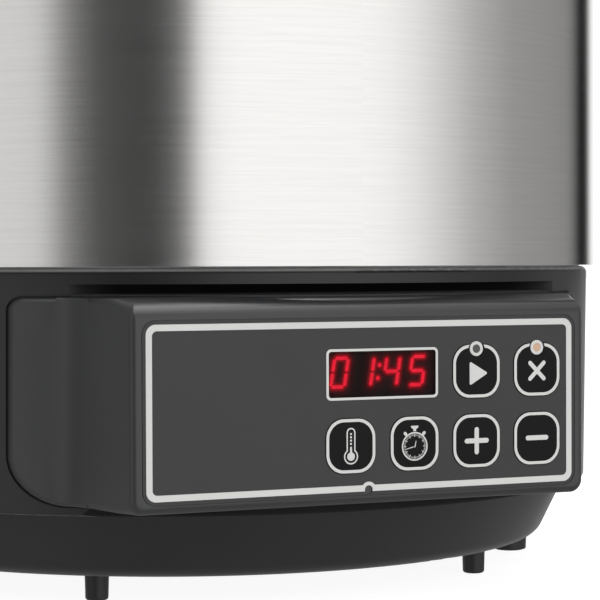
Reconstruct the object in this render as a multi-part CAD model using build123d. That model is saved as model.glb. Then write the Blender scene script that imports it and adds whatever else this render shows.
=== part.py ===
from build123d import *

import os
from math import cos, radians, sin, sqrt

# Free-standing heated stainless vat with a digital control box on its plastic base.
# Millimetres, +Z up.  The origin is on the vessel's axis, at the plane the feet stand on.
# The control panel faces -Y, the mains inlet faces +Y, the carrying handles are at -X and +X.

# ---- driving dimensions -------------------------------------------------------------------
VESSEL_R = 195.0
VESSEL_WALL = 0.8
VESSEL_Z0 = 138.0
VESSEL_HEIGHT = 270.0
VESSEL_FLOOR_Z = 150.0
VESSEL_FLOOR_T = 1.0
BEAD_R = 2.2

RING_R_TOP = 191.86
RING_R_RIM = 190.4
RING_Z_TOP = 137.4
RING_Z_RIM = 39.0
RING_WALL = 3.0
RING_FLANGE_R = 132.0
COLLAR_R = 188.4
COLLAR_TOP_Z = 147.0

TRAY_R_TOP = 181.7
TRAY_R_FOOT = 168.2
TRAY_Z = 11.3
TRAY_WALL = 2.7
TRAY_CORNER = 9.0

RECESS_Z = (126.4, 131.0)
RECESS_CHORD_Y = -156.0

BOX_HALF_W = 130.5
BOX_Z = (43.0, 125.8)
BOX_PROUD = 3.0
BOX_CORNER_BOTTOM = 20.0
BOX_CORNER_TOP = 5.0
FLANGE_EDGE_R = 2.4
SEAM = 0.7
FACE_Y = -199.9
FACE_HALF_W = 99.6
FLANK_SLOPE = 0.243
FLARE_R = 24.0
FLARE_EDGE_R = 1.6
FACE_Z_TOP = 123.2
TOP_KNEE_Y = -186.0
FACE_CORNER = 6.0
BACK_CORNER = 2.9
EDGE_TOP_R = 7.0
EDGE_R = 3.3
BOX_WALL = 2.4
SKIRT_HALF_W = 98.4
SKIRT_Z = (52.0, 116.4)
SKIRT_BACK_Y = -168.0

OVERLAY_T = 0.5
OVERLAY_SIZE = (190.8, 70.7)
OVERLAY_R = 5.4
OVERLAY_GAP = 0.25
FRAME_SIZE = (188.0, 67.73)
FRAME_LINE = 2.5
FRAME_R = 4.0
FRAME_Z = 82.03
PRINT_T = 0.12
NOTCH_HOLE_D = 3.5
NOTCH_ARCH_D = 6.4
NOTCH_Z = 48.8

DISPLAY_POS = (6.4, 94.9)
DISPLAY_SIZE = (49.7, 20.3)
DISPLAY_R = 2.0
DISPLAY_LINE = 1.0
DIGIT_H = 12.7
DIGIT_W = 7.3
DIGIT_PITCH = 11.54
DIGIT_X0 = -12.1
DIGIT_Z = 95.7
DIGIT_SLANT = 0.16
DIGIT_T = 0.08
SEGMENT_W = 1.35
SEGMENT_GAP = 0.35
SEGMENT_CUT = 0.45
COLON_RISE = 2.6
COLON_R = 0.75
LENS_T = 1.2
DIGITS = ("abcdef", "bc", "bcfg", "acdfg")

BUTTON_W = 21.6
BUTTON_R = 7.5
BUTTON_CLEAR = 0.3
BUTTON_PROUD = 0.35
BUTTON_FLANGE = 0.7
BUTTON_X = (-7.9, 20.5, 48.9, 77.3)
BUTTON_Z = (66.5, 94.9)
BUTTONS = {
    "temperature": (BUTTON_X[0], BUTTON_Z[0]),
    "timer": (BUTTON_X[1], BUTTON_Z[0]),
    "plus": (BUTTON_X[2], BUTTON_Z[0]),
    "minus": (BUTTON_X[3], BUTTON_Z[0]),
    "start": (BUTTON_X[2], BUTTON_Z[1]),
    "cancel": (BUTTON_X[3], BUTTON_Z[1]),
}
LED_RISE = 9.15
LED_BEZEL_D = 6.0
LED_D = 3.5

PCB_FRONT_Y = -190.6
PCB_T = 1.6
PCB_HALF_W = 88.5
PCB_Z = (54.6, 113.8)
PCB_POSTS = ((-80, 60), (-80, 108), (6.3, 110.5), (63.1, 80.7))
COVER_POSTS = [(x, z) for x in (-93.0, 93.0) for z in (57.4, 111.0)]
COVER_T = 2.0
CABLE_Z = 60.0

# angles are counted from the front (-Y), positive towards +X
SLIM_FOOT_ANGLES = (-35.4, 35.4, -144.6, 144.6)
SLIM_FOOT_R = 153.3
SLIM_FOOT_D = 10.2
WIDE_FOOT_ANGLES = (-65.4, 65.4, -114.6, 114.6)
WIDE_FOOT_R = 155.8
WIDE_FOOT_D = 17.0
PAD_T = 2.0
TRAY_SCREW_ANGLES = (-17, 17, -90, 90, -163, 163)
TRAY_SCREW_R = 157.0
TRAY_SCREW_SEAT_Z = 27.0
SCREW_R = 1.4
SCREW_FIT = 0.03
SMALL_SCREW_R = 1.0
TIE_ROD_ANGLES = (-60, 60, 180)
TIE_ROD_R = 142.0
TIE_ROD_D = 5.0

HEAT_PLATE_R = 132.0
HEAT_PLATE_T = 3.0
ELEMENT_R = 105.0
ELEMENT_D = 7.0
ELEMENT_Z = VESSEL_FLOOR_Z - HEAT_PLATE_T - ELEMENT_D / 2 - 0.05
ELEMENT_BEND = 12.0
ELEMENT_GAP_ANGLE = 12.0
ELEMENT_END_Z = 104.0
SENSOR_D = 6.0
CUTOUT_X = 60.0
SHIELD_Z = 118.0
SHIELD_R = 150.0
SHIELD_T = 1.0

POWER_BOARD_Z = 28.0
POWER_BOARD = (110.0, 84.0)
POWER_BOARD_Y = 30.0
BOARD_CORNERS = [(x, POWER_BOARD_Y + y) for x in (-50, 50) for y in (-37, 37)]

HANDLE_Z = (338.0, 362.0)
HANDLE_REACH = 34.0
HANDLE_HALF_W = 62.0
HANDLE_BAR_T = 13.0
HANDLE_SCREW_X = 198.5
HANDLE_SCREW_Y = HANDLE_HALF_W - 10
BRACKET_T = 1.2

LID_Z = 408.2
LID_RISE = 38.0
LID_SHEET = 0.8
LID_DOME_R = 186.0
LID_LIP_R = 198.8
LID_SKIRT_R = 191.2
VENT_Y = 120.0
KNOB_HOLE_R = 2.7
KNOB_R = 22.0
COLLAR_T = 1.2

RACK_R = 184.0
RACK_Z = 171.0
RACK_T = 1.2
RACK_HOLE_R = 5.5
RACK_FINGER_R = 18.0
RACK_ROWS = ((45, 10), (75, 16), (105, 22), (135, 28), (162, 34))

REAR_Y = -FACE_Y + BUTTON_PROUD
MAINS_Z = 64.0

UP = (Align.CENTER, Align.CENTER, Align.MIN)


# ---- helpers ------------------------------------------------------------------------------
def around(angle, radius, z=0.0):
    """Place at an angle from the front, at a radius from the axis."""
    return Pos(radius * sin(radians(angle)), -radius * cos(radians(angle)), z)


def turned(points, radii=0):
    """Solid of revolution about Z from an (r, z) outline with rounded corners."""
    if radii == 0:
        outline = Polyline(*points, close=True)
    else:
        outline = FilletPolyline(*points, radius=radii, close=True)
    return revolve(make_face(Plane.XZ * outline), Axis.Z)


def upright(radius, z_low, z_high):
    return Pos(0, 0, z_low) * Cylinder(radius, z_high - z_low, align=UP)


def tube(r_out, r_in, z_low, z_high):
    return upright(r_out, z_low, z_high) - upright(r_in, z_low - 1, z_high + 1)


def front_slab(sketch, y_front, y_back):
    """Extrude an (x, z) sketch between two planes that face the front."""
    plane = Plane((0, y_back, 0), x_dir=(1, 0, 0), z_dir=(0, -1, 0))
    return extrude(plane * sketch, amount=y_back - y_front)


def front_pin(x, z, radius, y_front, y_back):
    return front_slab(Pos(x, z) * Circle(radius), y_front, y_back)


def block(x_range, y_range, z_range):
    size = [high - low for low, high in (x_range, y_range, z_range)]
    middle = [(high + low) / 2 for low, high in (x_range, y_range, z_range)]
    return Pos(*middle) * Box(*size)


def hexagon_nut(across_flats, bore_r, z_low, z_high):
    flat = RegularPolygon(across_flats / 2, 6, major_radius=False) - Circle(bore_r)
    return extrude(Pos(0, 0, z_low) * flat, amount=z_high - z_low)


def pan_screw(shank_r, length, head_r, head_t):
    """Screw with its head above z = 0 and its shank below."""
    head = fillet(upright(head_r, 0, head_t).edges().group_by(Axis.Z)[-1], head_t * 0.45)
    shank = chamfer(upright(shank_r, -length, 0).edges().group_by(Axis.Z)[0], shank_r * 0.3)
    slot = upright(head_r * 0.35, head_t * 0.5, head_t + 1)
    return head + shank - slot


def wire(points, radii, radius):
    """Round wire along straight runs joined by arcs."""
    path = FilletPolyline(*points, radius=radii)
    return sweep(Plane(path @ 0, z_dir=path % 0) * Circle(radius), path=path)


def save(name, shape):
    solids = shape.solids()
    whole = solids[0] if len(solids) == 1 else Compound(children=list(solids))
    export_step(whole, f"parts/{name}.step")


# ---- vessel -------------------------------------------------------------------------------
def vessel_shell():
    inner = VESSEL_R - VESSEL_WALL
    bead_z = VESSEL_Z0 + VESSEL_HEIGHT - BEAD_R
    floor_top = VESSEL_FLOOR_Z + VESSEL_FLOOR_T
    outline = [
        (0, VESSEL_FLOOR_Z),
        (inner, VESSEL_FLOOR_Z),
        (inner, VESSEL_Z0),
        (VESSEL_R, VESSEL_Z0),
        (VESSEL_R, bead_z),
        (inner, bead_z),
        (inner, floor_top),
        (0, floor_top),
    ]
    shell = turned(outline, [0, 0, 0, 0, 0, 0, 6, 0])
    bead = Pos(0, 0, bead_z) * Torus(VESSEL_R + 1.0, BEAD_R)
    return shell + bead


def handle_brackets():
    """Curved backing plates on the wall, with two ears each that reach into the handle's feet."""
    plate = tube(VESSEL_R + BRACKET_T, VESSEL_R, HANDLE_Z[0] - 3, HANDLE_Z[1] + 3)
    plate &= block((150, 210), (-HANDLE_HALF_W - 4, HANDLE_HALF_W + 4), (330, 370))
    middle_z = sum(HANDLE_Z) / 2
    for end in (-1, 1):
        y = end * HANDLE_SCREW_Y
        ear = block((186, 203), (y - 6, y + 6), (middle_z - 1, middle_z + 1))
        ear -= upright(VESSEL_R + BRACKET_T / 2, 330, 370)
        ear -= Pos(HANDLE_SCREW_X, y, 0) * upright(2.05, 330, 370)
        plate += ear
    return Compound(children=[plate, mirror(plate, Plane.YZ)])


def handle(side):
    """Cool-touch grip: a bar on two feet, with a finger gap behind it."""
    reach = VESSEL_R + HANDLE_REACH
    outer = [
        (176, -HANDLE_HALF_W - 2),
        (199, -HANDLE_HALF_W),
        (reach, -HANDLE_HALF_W + 14),
        (reach, HANDLE_HALF_W - 14),
        (199, HANDLE_HALF_W),
        (176, HANDLE_HALF_W + 2),
    ]
    inner = [
        (150, -HANDLE_HALF_W + 20),
        (reach - HANDLE_BAR_T, -HANDLE_HALF_W + 24),
        (reach - HANDLE_BAR_T, HANDLE_HALF_W - 24),
        (150, HANDLE_HALF_W - 20),
    ]
    bar = make_face(FilletPolyline(*outer, radius=[0, 14, 14, 14, 14, 0], close=True))
    bar -= make_face(FilletPolyline(*inner, radius=[0, 9, 9, 0], close=True))
    grip = extrude(Pos(0, 0, HANDLE_Z[0]) * bar, amount=HANDLE_Z[1] - HANDLE_Z[0])
    rims = grip.faces().filter_by(Axis.Z).edges()
    grip = fillet(rims, 5.0)
    grip -= upright(VESSEL_R + BRACKET_T, 300, 400)
    middle_z = sum(HANDLE_Z) / 2
    for end in (-1, 1):
        y = end * HANDLE_SCREW_Y
        place = Pos(HANDLE_SCREW_X, y, 0)
        grip -= block((180, 203.4), (y - 6.3, y + 6.3), (middle_z - 1.05, middle_z + 1.05))
        grip -= place * upright(2.05, HANDLE_Z[0] + 3, HANDLE_Z[1] - 4)
        grip -= place * upright(3.9, HANDLE_Z[0] - 1, HANDLE_Z[0] + 4)
    return mirror(grip, Plane.YZ) if side < 0 else grip


def handle_screws():
    screws = []
    screw = Rot(180, 0, 0) * pan_screw(2.0, 13.5, 3.6, 2.4)
    for side in (-1, 1):
        for end in (-1, 1):
            place = Pos(side * HANDLE_SCREW_X, end * HANDLE_SCREW_Y, HANDLE_Z[0] + 4)
            screws.append(place * screw)
    return Compound(children=screws)


# ---- lid ----------------------------------------------------------------------------------
def dome_z(radius):
    """Height of the lid's outer surface at a radius."""
    sphere_r = (LID_DOME_R**2 + LID_RISE**2) / (2 * LID_RISE)
    apex = LID_Z + LID_SHEET + LID_RISE
    return apex - sphere_r + sqrt(sphere_r**2 - radius**2)


def lid_shell():
    """Spun dome with a flat rest on the vessel's bead, a turned-down lip and a locating skirt."""
    outer = ThreePointArc(
        (KNOB_HOLE_R, dome_z(KNOB_HOLE_R)),
        (LID_DOME_R / 2, dome_z(LID_DOME_R / 2)),
        (LID_DOME_R, dome_z(LID_DOME_R)),
    )
    inner = ThreePointArc(
        (LID_DOME_R, dome_z(LID_DOME_R) - LID_SHEET),
        (LID_DOME_R / 2, dome_z(LID_DOME_R / 2) - LID_SHEET),
        (KNOB_HOLE_R, dome_z(KNOB_HOLE_R) - LID_SHEET),
    )
    sides = [Line(outer @ 1, inner @ 0), Line(inner @ 1, outer @ 0)]
    dome = revolve(make_face(Plane.XZ * (outer + inner + sides)), Axis.Z)
    lip = turned(
        [
            (LID_DOME_R - 0.4, LID_Z),
            (LID_LIP_R, LID_Z),
            (LID_LIP_R, LID_Z - 5),
            (LID_LIP_R + LID_SHEET, LID_Z - 5),
            (LID_LIP_R + LID_SHEET, LID_Z + LID_SHEET),
            (LID_DOME_R - 0.4, LID_Z + LID_SHEET),
        ],
        [0, 0, 0, 0, 1.2, 0],
    )
    skirt = tube(LID_SKIRT_R, LID_SKIRT_R - LID_SHEET, LID_Z - 8, LID_Z + LID_SHEET / 2)
    vent = Pos(0, VENT_Y, 0) * upright(3.0, LID_Z, LID_Z + 60)
    return dome + lip + skirt - vent


def vent_grommet():
    """Heat-proof eyelet in the lid's steam hole."""
    tilt = -15.0
    profile = [
        (1.6, -2.6),
        (4.6, -2.6),
        (4.6, -0.6),
        (2.9, -0.6),
        (2.9, 0.6),
        (4.6, 0.6),
        (4.6, 2.0),
        (1.6, 2.0),
    ]
    middle = dome_z(VENT_Y) - LID_SHEET / 2
    return Pos(0, VENT_Y, middle) * Rot(tilt, 0, 0) * turned(profile)


def lid_knob():
    base_z = dome_z(0) + COLLAR_T
    profile = [
        (0, base_z + 1),
        (2.2, base_z + 1),
        (2.2, base_z),
        (14, base_z),
        (10.5, base_z + 14),
        (KNOB_R, base_z + 22),
        (KNOB_R, base_z + 31),
        (0, base_z + 36),
    ]
    knob = turned(profile, [0, 0, 0, 2, 7, 4, 5, 0])
    return knob - upright(2.05, base_z - 1, base_z + 18)


def knob_collar():
    """Stainless seat disc between the knob and the lid."""
    base_z = dome_z(0)
    top = base_z + COLLAR_T
    profile = [(KNOB_HOLE_R, base_z), (24, base_z), (24, top), (KNOB_HOLE_R, top)]
    return turned(profile, [0, 0, 0.8, 0])


def knob_screw():
    return Pos(0, 0, dome_z(0) - LID_SHEET - 1.2) * Rot(180, 0, 0) * pan_screw(2.0, 16, 4.5, 2.6)


# ---- rack ---------------------------------------------------------------------------------
def jar_rack():
    """Perforated plate with a finger hole and a turned-down rim that it stands on."""
    plate = tube(RACK_R, RACK_FINGER_R, RACK_Z, RACK_Z + RACK_T)
    hole = upright(RACK_HOLE_R, RACK_Z - 1, RACK_Z + 5)
    for row, count in RACK_ROWS:
        for index in range(count):
            plate -= around(360 * index / count, row) * hole
    rim = tube(RACK_R, RACK_R - RACK_T, VESSEL_FLOOR_Z + 7, RACK_Z + RACK_T)
    for index in range(12):
        angle = 30 * index
        slot = around(angle, RACK_R) * Rot(0, 0, angle) * Box(30, 12, 16)
        rim -= Pos(0, 0, VESSEL_FLOOR_Z + 10) * slot
    legs = Part()
    for angle in (45, 135, 225, 315):
        leg = upright(3.0, VESSEL_FLOOR_Z + VESSEL_FLOOR_T, RACK_Z)
        legs += around(angle, RACK_R - 13) * leg
    return plate + rim + legs


# ---- base ---------------------------------------------------------------------------------
def ring_cone(offset):
    """Filled cone of the base ring's outer wall, moved out by an offset."""
    return turned(
        [
            (0, RING_Z_RIM),
            (RING_R_RIM + offset, RING_Z_RIM),
            (RING_R_TOP + offset, RING_Z_TOP),
            (0, RING_Z_TOP),
        ]
    )


def rounded_outline(half_w, z_range, r_top, r_bottom):
    """(x, z) outline with one corner radius at the top and another at the bottom."""
    low, high = z_range
    points = [(-half_w, low), (half_w, low), (half_w, high), (-half_w, high)]
    radii = [r_bottom, r_bottom, r_top, r_top]
    return make_face(FilletPolyline(*points, radius=radii, close=True))


def box_outline(grow):
    """Outline of the control box where it lies on the wall."""
    z_range = (BOX_Z[0] - grow, BOX_Z[1] + grow)
    r_top = BOX_CORNER_TOP + grow
    r_bottom = BOX_CORNER_BOTTOM + grow
    return rounded_outline(BOX_HALF_W + grow, z_range, r_top, r_bottom)


def base_ring():
    """Outer plastic ring: wall, collar inside the vessel's skirt, foot flange and openings."""
    outline = [
        (RING_R_RIM, RING_Z_RIM),
        (RING_R_TOP, RING_Z_TOP),
        (COLLAR_R, RING_Z_TOP),
        (COLLAR_R, COLLAR_TOP_Z),
        (COLLAR_R - RING_WALL, COLLAR_TOP_Z),
        (COLLAR_R - RING_WALL, RING_Z_TOP - 6),
        (RING_R_TOP - RING_WALL, RING_Z_TOP - 12),
        (RING_R_RIM - RING_WALL, RING_Z_RIM + RING_WALL),
        (RING_FLANGE_R, RING_Z_RIM + RING_WALL),
        (RING_FLANGE_R, RING_Z_RIM),
    ]
    ring = turned(outline, [1.2, 3.0, 0, 0.8, 0.8, 2, 4, 2, 0, 0])

    pocket = block((-118, 118), (-186, RECESS_CHORD_Y + 2.4), (RECESS_Z[0] - 2.4, RECESS_Z[1] + 2.4))
    ring += pocket & upright(COLLAR_R - 0.5, 100, 140)
    ring -= block((-130, 130), (-200, RECESS_CHORD_Y), RECESS_Z)

    seat = front_slab(box_outline(SEAM), -200, -120)
    ring -= seat & (ring_cone(1) - ring_cone(-1.0))
    window = (SKIRT_Z[0] - 0.6, SKIRT_Z[1] + 0.6)
    ring -= block((-SKIRT_HALF_W - 0.6, SKIRT_HALF_W + 0.6), (-200, -120), window)

    for angle in TRAY_SCREW_ANGLES:
        ring += around(angle, TRAY_SCREW_R) * upright(4.5, RING_Z_RIM + 1, RING_Z_RIM + 14)
        hole = upright(SCREW_R + SCREW_FIT, RING_Z_RIM - 1, RING_Z_RIM + 11)
        ring -= around(angle, TRAY_SCREW_R) * hole
    for angle in TIE_ROD_ANGLES:
        ring -= around(angle, TIE_ROD_R) * upright(2.8, RING_Z_RIM - 1, RING_Z_RIM + 6)
    ring -= Pos(0, 185, MAINS_Z) * Rot(90, 0, 0) * Cylinder(9.1, 40)
    return ring


def base_tray():
    """Bowl-shaped underside with ventilation slots, screw bosses and board posts."""
    outline = [
        (0, TRAY_Z),
        (TRAY_R_FOOT, TRAY_Z),
        (TRAY_R_TOP, RING_Z_RIM),
        (TRAY_R_TOP - 3.2, RING_Z_RIM),
        (TRAY_R_FOOT - 2, TRAY_Z + TRAY_WALL),
        (0, TRAY_Z + TRAY_WALL),
    ]
    tray = turned(outline, [0, TRAY_CORNER, 0.6, 0, TRAY_CORNER - 2, 0])
    for index in range(24):
        slot = extrude(Pos(0, 0, TRAY_Z - 1) * SlotOverall(30, 4), amount=6)
        tray -= Rot(0, 0, 15 * index) * Pos(112, 0, 0) * slot
    for angle in TRAY_SCREW_ANGLES:
        place = around(angle, TRAY_SCREW_R)
        tray += place * upright(5.5, TRAY_Z + 1, RING_Z_RIM)
        tray -= place * upright(4.1, TRAY_Z - 1, TRAY_SCREW_SEAT_Z)
        tray -= place * upright(1.9, TRAY_Z, RING_Z_RIM + 1)
    for x, y in BOARD_CORNERS:
        post = tube(3.5, SMALL_SCREW_R + SCREW_FIT, TRAY_Z + 1, POWER_BOARD_Z)
        tray += Pos(x, y, 0) * post
    for angle in SLIM_FOOT_ANGLES:
        tray -= around(angle, SLIM_FOOT_R) * upright(2.6, TRAY_Z - 1, TRAY_Z + 6)
    for angle in WIDE_FOOT_ANGLES:
        tray -= around(angle, WIDE_FOOT_R) * upright(2.1, TRAY_Z - 1, TRAY_Z + 6)
    return tray


def tray_screws():
    screw = Rot(180, 0, 0) * pan_screw(SCREW_R, 20, 3.6, 2.4)
    return Compound(
        children=[around(a, TRAY_SCREW_R, TRAY_SCREW_SEAT_Z) * screw for a in TRAY_SCREW_ANGLES]
    )


def slim_foot():
    """Push-in peg foot: tapered post below the tray, stem and barb above its floor."""
    r = SLIM_FOOT_D / 2
    outline = [
        (0, 0),
        (r - 0.3, 0),
        (r, TRAY_Z),
        (2.5, TRAY_Z),
        (2.5, TRAY_Z + TRAY_WALL + 0.1),
        (3.6, TRAY_Z + TRAY_WALL + 0.1),
        (2.0, TRAY_Z + 8),
        (0, TRAY_Z + 8),
    ]
    return turned(outline, [0, 1.3, 0.3, 0, 0, 0, 0.8, 0])


def wide_foot():
    """Moulded foot with a screw shank into the tray and a pocket for the pad."""
    r = WIDE_FOOT_D / 2
    outline = [
        (0, PAD_T - 1),
        (r - 1.6, PAD_T - 1),
        (r - 1.6, PAD_T - 1.6),
        (r - 0.4, PAD_T - 1.6),
        (r, TRAY_Z),
        (2.0, TRAY_Z),
        (2.0, TRAY_Z + 8),
        (0, TRAY_Z + 8),
    ]
    return turned(outline, [0, 0, 0, 0.5, 0.8, 0, 0.8, 0])


def foot_pad():
    r = WIDE_FOOT_D / 2 - 1.8
    return chamfer(upright(r, 0, PAD_T - 1).edges().group_by(Axis.Z)[0], 0.3)


def repeated(angles, radius, piece):
    return Compound(children=[around(angle, radius) * piece for angle in angles])


def seat_gasket():
    """Silicone ring between the base ring's collar and the vessel's underside."""
    top = VESSEL_FLOOR_Z
    return tube(COLLAR_R + 1.0, COLLAR_R - RING_WALL - 1.0, COLLAR_TOP_Z, top)


def tie_rods():
    """Studs welded under the vessel that clamp it down on the base ring."""
    low = RING_Z_RIM - 7
    rod = chamfer(upright(2.5, low, VESSEL_FLOOR_Z).edges().group_by(Axis.Z)[0], 0.6)
    return repeated(TIE_ROD_ANGLES, TIE_ROD_R, rod)


def tie_rod_nuts():
    """Nuts under the base ring's flange and under the heat shield."""
    nuts = []
    for top in (RING_Z_RIM, SHIELD_Z):
        nut = hexagon_nut(8, TIE_ROD_D / 2 + 0.02, top - 4, top)
        nuts += [around(angle, TIE_ROD_R) * nut for angle in TIE_ROD_ANGLES]
    return Compound(children=nuts)


def shield_spacers():
    spacer = tube(4.5, 2.55, SHIELD_Z + 1.0, VESSEL_FLOOR_Z)
    return repeated(TIE_ROD_ANGLES, TIE_ROD_R, spacer)


# ---- heating ------------------------------------------------------------------------------
def heat_plate():
    """Aluminium disc brazed under the vessel, which spreads the element's heat."""
    low = VESSEL_FLOOR_Z - HEAT_PLATE_T
    plate = chamfer(upright(HEAT_PLATE_R, low, VESSEL_FLOOR_Z).edges().group_by(Axis.Z)[0], 1.0)
    return plate - upright(SENSOR_D / 2 + 1.5, low - 1, VESSEL_FLOOR_Z + 1)


def coil_end(side):
    """Where the element's coil stops at one side, and the direction it runs on in."""
    angle = radians(90 + side * ELEMENT_GAP_ANGLE)
    end = Vector(ELEMENT_R * cos(angle), ELEMENT_R * sin(angle), ELEMENT_Z)
    away = Vector(side * sin(angle), -side * cos(angle), 0)
    return end, away


def cold_end(side):
    """Top of the element's vertical end at one side, after its bend."""
    end, away = coil_end(side)
    return end + away * ELEMENT_BEND - Vector(0, 0, ELEMENT_BEND)


def heating_element():
    """Tubular horseshoe element with its two cold ends turned down."""
    radius = ELEMENT_D / 2
    section = Plane((ELEMENT_R, 0, ELEMENT_Z), x_dir=(1, 0, 0), z_dir=(0, 1, 0)) * Circle(radius)
    coil = revolve(section, Axis.Z, revolution_arc=360 - 2 * ELEMENT_GAP_ANGLE)
    element = Rot(0, 0, 90 + ELEMENT_GAP_ANGLE) * coil
    for side in (-1, 1):
        end, away = coil_end(side)
        pivot = end - Vector(0, 0, ELEMENT_BEND)
        face = Plane(end, z_dir=away) * Circle(radius)
        element += revolve(face, Axis(pivot, Vector(0, 0, 1).cross(away)), revolution_arc=90)
        drop = cold_end(side)
        element += Pos(drop.X, drop.Y, 0) * upright(radius, ELEMENT_END_Z, drop.Z)
    return element


def element_ends():
    """(x, y) of the element's two vertical cold ends."""
    return [(cold_end(side).X, cold_end(side).Y) for side in (-1, 1)]


def terminal_insulators():
    bead = tube(4.5, 1.5, ELEMENT_END_Z - 6, ELEMENT_END_Z)
    return Compound(children=[Pos(x, y, 0) * bead for x, y in element_ends()])


def terminal_tabs():
    pin = upright(1.45, ELEMENT_END_Z - 8, ELEMENT_END_Z)
    tab = pin + block((-3.15, 3.15), (-0.4, 0.4), (ELEMENT_END_Z - 18, ELEMENT_END_Z - 7))
    return Compound(children=[Pos(x, y, 0) * tab for x, y in element_ends()])


def thermal_cutout():
    """Bimetal disc thermostat pressed against the heat plate."""
    top = VESSEL_FLOOR_Z - HEAT_PLATE_T
    body = upright(7.5, top - 8, top) + upright(9.5, top - 1.2, top)
    for side in (-1, 1):
        body += block((side * 5 - 3.15, side * 5 + 3.15), (-0.4, 0.4), (top - 16, top - 7))
    return Pos(CUTOUT_X, 0, 0) * body


def temperature_sensor():
    """Probe that touches the vessel's underside through the heat plate."""
    low = SHIELD_Z + 14
    top = VESSEL_FLOOR_Z - 0.1
    outline = [
        (0, low),
        (SENSOR_D, low),
        (SENSOR_D, low + 1.5),
        (SENSOR_D / 2, low + 1.5),
        (SENSOR_D / 2, top),
        (0, top),
    ]
    return turned(outline, [0, 0.4, 0.4, 0, 0.5, 0])


def sensor_spring():
    low = SHIELD_Z + SHIELD_T + 0.5
    helix = Helix(pitch=2.6, height=11.5, radius=4.4)
    coil = sweep(Plane(helix @ 0, z_dir=helix % 0) * Circle(0.4), path=helix, is_frenet=True)
    return Pos(0, 0, low) * coil


def heat_shield():
    """Aluminium dish that keeps the element's heat off the electronics."""
    outline = [
        (0, SHIELD_Z),
        (SHIELD_R, SHIELD_Z),
        (SHIELD_R, SHIELD_Z + 9),
        (SHIELD_R - SHIELD_T, SHIELD_Z + 9),
        (SHIELD_R - SHIELD_T, SHIELD_Z + SHIELD_T),
        (0, SHIELD_Z + SHIELD_T),
    ]
    shield = turned(outline, [0, 3, 0, 0, 2, 0])
    low, high = SHIELD_Z - 2, SHIELD_Z + 4
    shield -= upright(2.0, low, high)
    shield -= Pos(CUTOUT_X, 0, 0) * upright(10, low, high)
    for x, y in element_ends():
        shield -= Pos(x, y, 0) * upright(6.5, low, high)
    for angle in TIE_ROD_ANGLES:
        shield -= around(angle, TIE_ROD_R) * upright(TIE_ROD_D / 2 + 0.3, low, high)
    return shield


# ---- power electronics in the base --------------------------------------------------------
def power_board():
    z_range = (POWER_BOARD_Z, POWER_BOARD_Z + PCB_T)
    half_w, half_d = POWER_BOARD[0] / 2, POWER_BOARD[1] / 2
    y_range = (POWER_BOARD_Y - half_d, POWER_BOARD_Y + half_d)
    board = block((-half_w, half_w), y_range, z_range)
    for x, y in BOARD_CORNERS:
        board -= Pos(x, y, 0) * upright(SMALL_SCREW_R + 0.2, z_range[0] - 1, z_range[1] + 1)
    return board


def board_screws():
    """Screws of the power board, which stand upright, and of the control board, which lie."""
    screw = pan_screw(SMALL_SCREW_R, 6, 2.2, 1.5)
    level = POWER_BOARD_Z + PCB_T
    screws = [Pos(x, y, level) * screw for x, y in BOARD_CORNERS]
    back = PCB_FRONT_Y + PCB_T
    screws += [Pos(x, back, z) * Rot(-90, 0, 0) * screw for x, z in PCB_POSTS]
    return Compound(children=screws)


def on_board(x, y, size):
    """Box-shaped component standing on the power board."""
    width, depth, height = size
    low = POWER_BOARD_Z + PCB_T
    part = Pos(x, y, low) * Box(width, depth, height, align=UP)
    top = part.edges().group_by(Axis.Z)[-1]
    return chamfer(top, 0.5)


def terminal_block():
    part = on_board(0, 60, (44, 14, 14))
    for x in (-15, -5, 5, 15):
        part -= Pos(x, 60, 0) * upright(2.2, POWER_BOARD_Z + 6, POWER_BOARD_Z + 20)
    return part


def power_capacitor():
    low = POWER_BOARD_Z + PCB_T
    can = fillet(upright(6.3, low, low + 20).edges().group_by(Axis.Z)[-1], 1.0)
    return Pos(-26, 26, 0) * can


def buzzer():
    low = POWER_BOARD_Z + PCB_T
    can = upright(6, low, low + 9.5) - upright(1, low + 4, low + 12)
    return Pos(-44, 10, 0) * can


def heater_wiring():
    """Insulated wires from the element's tabs and the thermal cutout to the terminal block."""
    wires = []
    for (x, y), block_x in zip(element_ends(), (-15, 15)):
        route = [
            (x, y, ELEMENT_END_Z - 18),
            (x, y, 64),
            (block_x, 60, 58),
            (block_x, 60, POWER_BOARD_Z + 8),
        ]
        wires.append(wire(route, [9, 9], 1.6))
    for side, block_x in ((-1, -5), (1, 5)):
        x = CUTOUT_X + side * 5
        route = [
            (x, 0, VESSEL_FLOOR_Z - HEAT_PLATE_T - 16),
            (x, 0, 96),
            (x - 14, 46, 78),
            (block_x, 60, 66),
            (block_x, 60, POWER_BOARD_Z + 8),
        ]
        wires.append(wire(route, [12, 12, 8], 1.2))
    return Compound(children=wires)


def sensor_lead():
    route = [
        (0, 0, SHIELD_Z + 14),
        (0, 0, 84),
        (-22, 6, 70),
        (-22, 6, POWER_BOARD_Z + PCB_T),
    ]
    return wire(route, [9, 9], 1.0)


def panel_cable():
    """Cable from the control board, through the rear cover, to the power board."""
    route = [
        (0, PCB_FRONT_Y + PCB_T, CABLE_Z),
        (0, -120, CABLE_Z),
        (0, -60, 54),
        (0, -6, 50),
        (0, -6, POWER_BOARD_Z + PCB_T + 2),
    ]
    return wire(route, [60, 60, 8], 1.8)


def mains_gland():
    """Bushing in the rear wall where the mains lead enters."""
    wall_y = 191.1
    outline = [
        (3.8, 172),
        (9.0, 172),
        (9.0, wall_y),
        (12.5, wall_y),
        (11, REAR_Y),
        (3.8, REAR_Y),
    ]
    bush = turned(outline, [0, 0.8, 0, 0.6, 2.5, 1.2])
    return Pos(0, 0, MAINS_Z) * Rot(-90, 0, 0) * bush


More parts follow.
